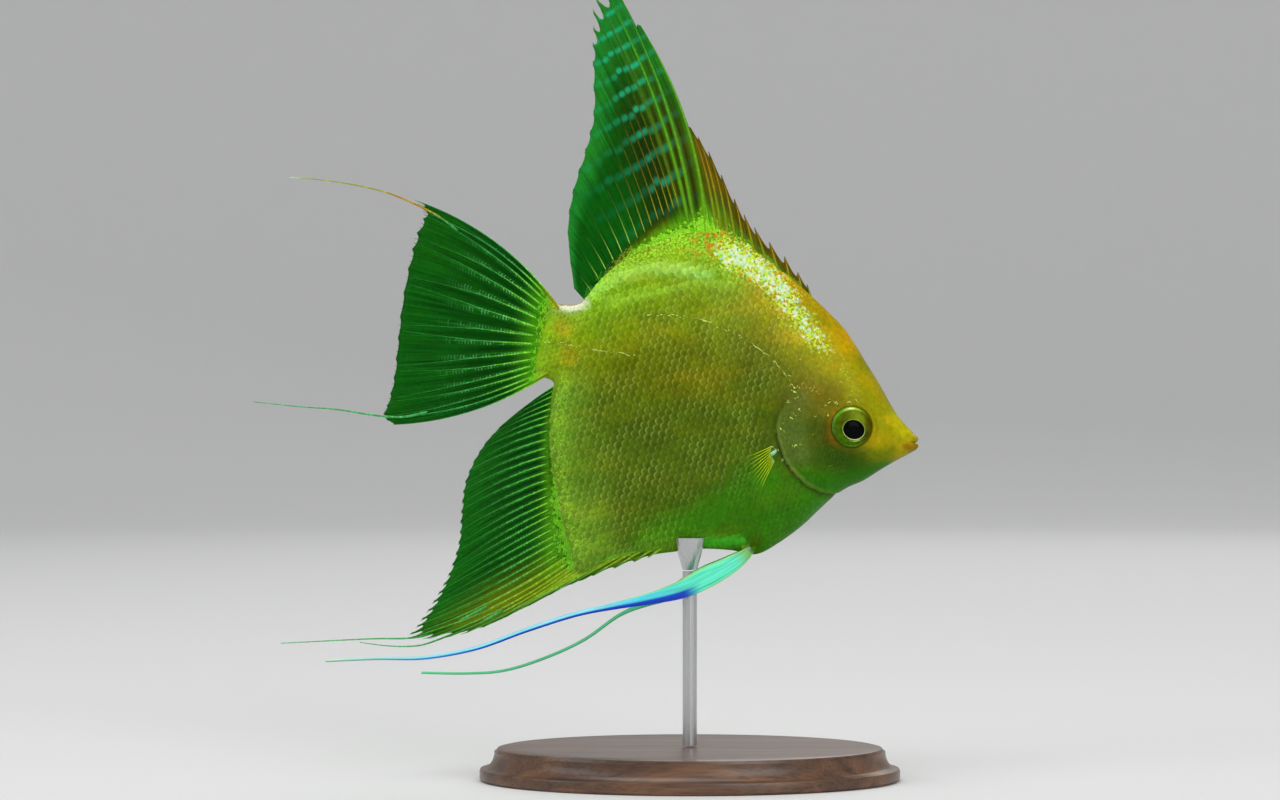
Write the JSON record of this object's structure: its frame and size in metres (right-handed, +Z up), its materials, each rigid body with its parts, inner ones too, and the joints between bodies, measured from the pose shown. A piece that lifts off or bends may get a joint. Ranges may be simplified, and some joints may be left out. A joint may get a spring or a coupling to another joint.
{
  "type": "freshwater angelfish",
  "caption": "Still, life-size golden freshwater angelfish swimming nose-down with spread fins and trailing filaments, held by a rod over a flat oval base.",
  "frame": {"origin": "middle of the underside of the stand's base, under the fish's belly", "axes": "+X the way the fish heads, +Y to its left, +Z up; the fish's own axis is tilted 15.2 degrees nose-down"},
  "size_m": [0.1207, 0.054, 0.1436],
  "materials": {
    "skin": "smooth moist skin, gold on the brow and snout to green on the throat",
    "scaled_skin": "small rough-edged scales, olive gold with pale rims and a speckled nape",
    "fins": "clear green web over jointed gold-green rays",
    "pelvic_fins": "pearly cyan rays with a deep blue lower edge",
    "pectoral_fins": "clear web over fine yellow rays",
    "eyes": "wet gloss, gold-green iris round a black pupil",
    "stand_wood": "dark stained wood with a satin lacquer",
    "stand_steel": "fine brushed steel"
  },
  "bodies": {
    "root": {"head": "skin", "upper_jaw": "skin", "lower_jaw": "skin", "gill_cover_left": "skin", "gill_cover_right": "skin", "eye_left": "eyes", "eye_right": "eyes", "trunk": "scaled_skin", "tail_stalk": "scaled_skin", "dorsal_fin": "fins", "anal_fin": "fins", "tail_fin": "fins", "pectoral_fin_left": "pectoral_fins", "pectoral_fin_right": "pectoral_fins", "pelvic_fin_left": "pelvic_fins", "pelvic_fin_right": "pelvic_fins", "stand_base": "stand_wood", "stand_rod": "stand_steel", "stand_cradle": "stand_steel"}
  },
  "joints": []
}
